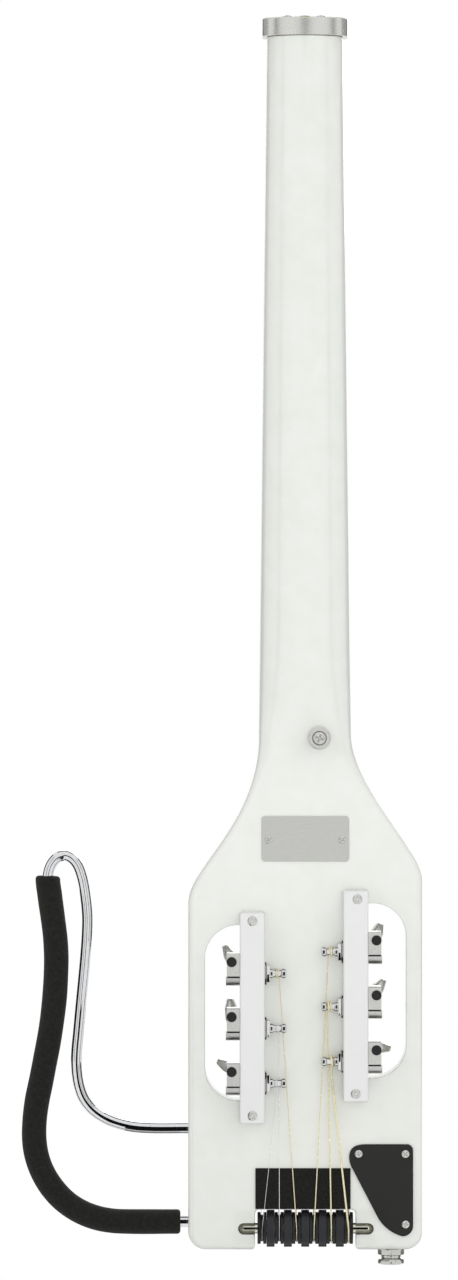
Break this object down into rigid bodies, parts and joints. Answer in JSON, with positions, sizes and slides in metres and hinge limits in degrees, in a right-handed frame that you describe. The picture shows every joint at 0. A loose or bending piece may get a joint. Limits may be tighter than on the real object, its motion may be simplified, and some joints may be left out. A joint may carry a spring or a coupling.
{
  "type": "travel guitar",
  "caption": "Headless travel guitar with a neck-through slab body, tuners set in body windows, butt rollers that turn the strings to the back, and a slide-out leg rest.",
  "frame": {"origin": "on the flat back of the body, on the centre line, straight behind the saddle", "axes": "+Z from the butt to the head along the strings, +X to the right seen from the back, +Y to the front"},
  "size_m": [0.2283, 0.0471, 0.7123],
  "materials": {
    "white_lacquer": "gloss lacquer",
    "white_rail": "satin lacquer",
    "fingerboard_wood": "oiled",
    "bone": "polished",
    "satin_aluminium": "satin",
    "satin_nickel": "satin",
    "bright_steel": "polished",
    "dark_steel": "satin",
    "chrome": "mirror",
    "brass": "satin",
    "bronze": "wound",
    "black_plastic": "satin",
    "black_foam": "matte",
    "felt": "felt"
  },
  "bodies": {
    "root": {"neck_body": "white_lacquer", "fingerboard": "fingerboard_wood", "nut": "bone", "bridge": "fingerboard_wood", "saddle": "bone", "piezo_pickup": "brass", "truss_rod": "brass", "end_cap": "satin_aluminium", "treble_rail": "white_rail", "bass_rail": "white_rail", "strap_button": "satin_nickel", "strap_button_screw": "bright_steel", "back_plate": "satin_aluminium", "damping_pad": "felt", "cavity_cover": "black_plastic", "endpin_jack": "satin_nickel", "roller_axle": "bright_steel", "roller_spacer_1": "dark_steel", "roller_spacer_2": "dark_steel", "roller_spacer_3": "dark_steel", "roller_spacer_4": "dark_steel", "roller_spacer_5": "dark_steel", "treble_tuner_1_housing": "satin_nickel", "treble_tuner_1_bushing": "satin_nickel", "treble_tuner_2_housing": "satin_nickel", "treble_tuner_2_bushing": "satin_nickel", "treble_tuner_3_housing": "satin_nickel", "treble_tuner_3_bushing": "satin_nickel", "bass_tuner_1_housing": "satin_nickel", "bass_tuner_1_bushing": "satin_nickel", "bass_tuner_2_housing": "satin_nickel", "bass_tuner_2_bushing": "satin_nickel", "bass_tuner_3_housing": "satin_nickel", "bass_tuner_3_bushing": "satin_nickel", "string_1": "bright_steel", "string_2": "bright_steel", "string_3": "bronze", "string_4": "bronze", "string_5": "bronze", "string_6": "bronze"},
    "leg_rest": {"leg_rest_frame": "chrome", "leg_rest_foam": "black_foam"},
    "roller_1": {"roller_1": "black_plastic"},
    "roller_2": {"roller_2": "black_plastic"},
    "roller_3": {"roller_3": "black_plastic"},
    "roller_4": {"roller_4": "black_plastic"},
    "roller_5": {"roller_5": "black_plastic"},
    "roller_6": {"roller_6": "black_plastic"},
    "treble_tuner_1_button": {"treble_tuner_1_button": "satin_nickel"},
    "treble_tuner_1_post": {"treble_tuner_1_post": "satin_nickel"},
    "treble_tuner_2_button": {"treble_tuner_2_button": "satin_nickel"},
    "treble_tuner_2_post": {"treble_tuner_2_post": "satin_nickel"},
    "treble_tuner_3_button": {"treble_tuner_3_button": "satin_nickel"},
    "treble_tuner_3_post": {"treble_tuner_3_post": "satin_nickel"},
    "bass_tuner_1_button": {"bass_tuner_1_button": "satin_nickel"},
    "bass_tuner_1_post": {"bass_tuner_1_post": "satin_nickel"},
    "bass_tuner_2_button": {"bass_tuner_2_button": "satin_nickel"},
    "bass_tuner_2_post": {"bass_tuner_2_post": "satin_nickel"},
    "bass_tuner_3_button": {"bass_tuner_3_button": "satin_nickel"},
    "bass_tuner_3_post": {"bass_tuner_3_post": "satin_nickel"}
  },
  "joints": [
    {"name": "leg_rest_slide", "type": "slide", "parent": "root", "child": "leg_rest", "axis": [-1, 0, 0], "range_m": [0, 0.024]},
    {"name": "roller_1_spin", "type": "hinge", "parent": "root", "child": "roller_1", "pos_m": [-0.02463, 0.006, -0.04545], "axis": [1, 0, 0], "continuous": true},
    {"name": "roller_2_spin", "type": "hinge", "parent": "root", "child": "roller_2", "pos_m": [-0.01477, 0.006, -0.04545], "axis": [1, 0, 0], "continuous": true},
    {"name": "roller_3_spin", "type": "hinge", "parent": "root", "child": "roller_3", "pos_m": [-0.00492, 0.006, -0.04545], "axis": [1, 0, 0], "continuous": true},
    {"name": "roller_4_spin", "type": "hinge", "parent": "root", "child": "roller_4", "pos_m": [0.00492, 0.006, -0.04545], "axis": [1, 0, 0], "continuous": true},
    {"name": "roller_5_spin", "type": "hinge", "parent": "root", "child": "roller_5", "pos_m": [0.01477, 0.006, -0.04545], "axis": [1, 0, 0], "continuous": true},
    {"name": "roller_6_spin", "type": "hinge", "parent": "root", "child": "roller_6", "pos_m": [0.02463, 0.006, -0.04545], "axis": [1, 0, 0], "continuous": true},
    {"name": "treble_tuner_1_button_turn", "type": "hinge", "parent": "root", "child": "treble_tuner_1_button", "pos_m": [-0.0419, -0.0082, 0.10735], "axis": [0, 1, 0], "continuous": true},
    {"name": "treble_tuner_1_post_turn", "type": "hinge", "parent": "root", "child": "treble_tuner_1_post", "pos_m": [-0.0231, -0.0082, 0.1004], "axis": [1, 0, 0], "continuous": true},
    {"name": "treble_tuner_2_button_turn", "type": "hinge", "parent": "root", "child": "treble_tuner_2_button", "pos_m": [-0.0419, -0.0082, 0.07625], "axis": [0, 1, 0], "continuous": true},
    {"name": "treble_tuner_2_post_turn", "type": "hinge", "parent": "root", "child": "treble_tuner_2_post", "pos_m": [-0.0231, -0.0082, 0.0693], "axis": [1, 0, 0], "continuous": true},
    {"name": "treble_tuner_3_button_turn", "type": "hinge", "parent": "root", "child": "treble_tuner_3_button", "pos_m": [-0.0419, -0.0082, 0.04515], "axis": [0, 1, 0], "continuous": true},
    {"name": "treble_tuner_3_post_turn", "type": "hinge", "parent": "root", "child": "treble_tuner_3_post", "pos_m": [-0.0231, -0.0082, 0.0382], "axis": [1, 0, 0], "continuous": true},
    {"name": "bass_tuner_1_button_turn", "type": "hinge", "parent": "root", "child": "bass_tuner_1_button", "pos_m": [0.0401, -0.0082, 0.11965], "axis": [0, 1, 0], "continuous": true},
    {"name": "bass_tuner_1_post_turn", "type": "hinge", "parent": "root", "child": "bass_tuner_1_post", "pos_m": [0.0213, -0.0082, 0.1127], "axis": [1, 0, 0], "continuous": true},
    {"name": "bass_tuner_2_button_turn", "type": "hinge", "parent": "root", "child": "bass_tuner_2_button", "pos_m": [0.0401, -0.0082, 0.08855], "axis": [0, 1, 0], "continuous": true},
    {"name": "bass_tuner_2_post_turn", "type": "hinge", "parent": "root", "child": "bass_tuner_2_post", "pos_m": [0.0213, -0.0082, 0.0816], "axis": [1, 0, 0], "continuous": true},
    {"name": "bass_tuner_3_button_turn", "type": "hinge", "parent": "root", "child": "bass_tuner_3_button", "pos_m": [0.0401, -0.0082, 0.05745], "axis": [0, 1, 0], "continuous": true},
    {"name": "bass_tuner_3_post_turn", "type": "hinge", "parent": "root", "child": "bass_tuner_3_post", "pos_m": [0.0213, -0.0082, 0.0505], "axis": [1, 0, 0], "continuous": true}
  ],
  "couplings": [
    {"joint": "treble_tuner_1_post_turn", "follows": "treble_tuner_1_button_turn", "ratio": 0.0625},
    {"joint": "treble_tuner_2_post_turn", "follows": "treble_tuner_2_button_turn", "ratio": 0.0625},
    {"joint": "treble_tuner_3_post_turn", "follows": "treble_tuner_3_button_turn", "ratio": 0.0625},
    {"joint": "bass_tuner_1_post_turn", "follows": "bass_tuner_1_button_turn", "ratio": -0.0625},
    {"joint": "bass_tuner_2_post_turn", "follows": "bass_tuner_2_button_turn", "ratio": -0.0625},
    {"joint": "bass_tuner_3_post_turn", "follows": "bass_tuner_3_button_turn", "ratio": -0.0625}
  ]
}
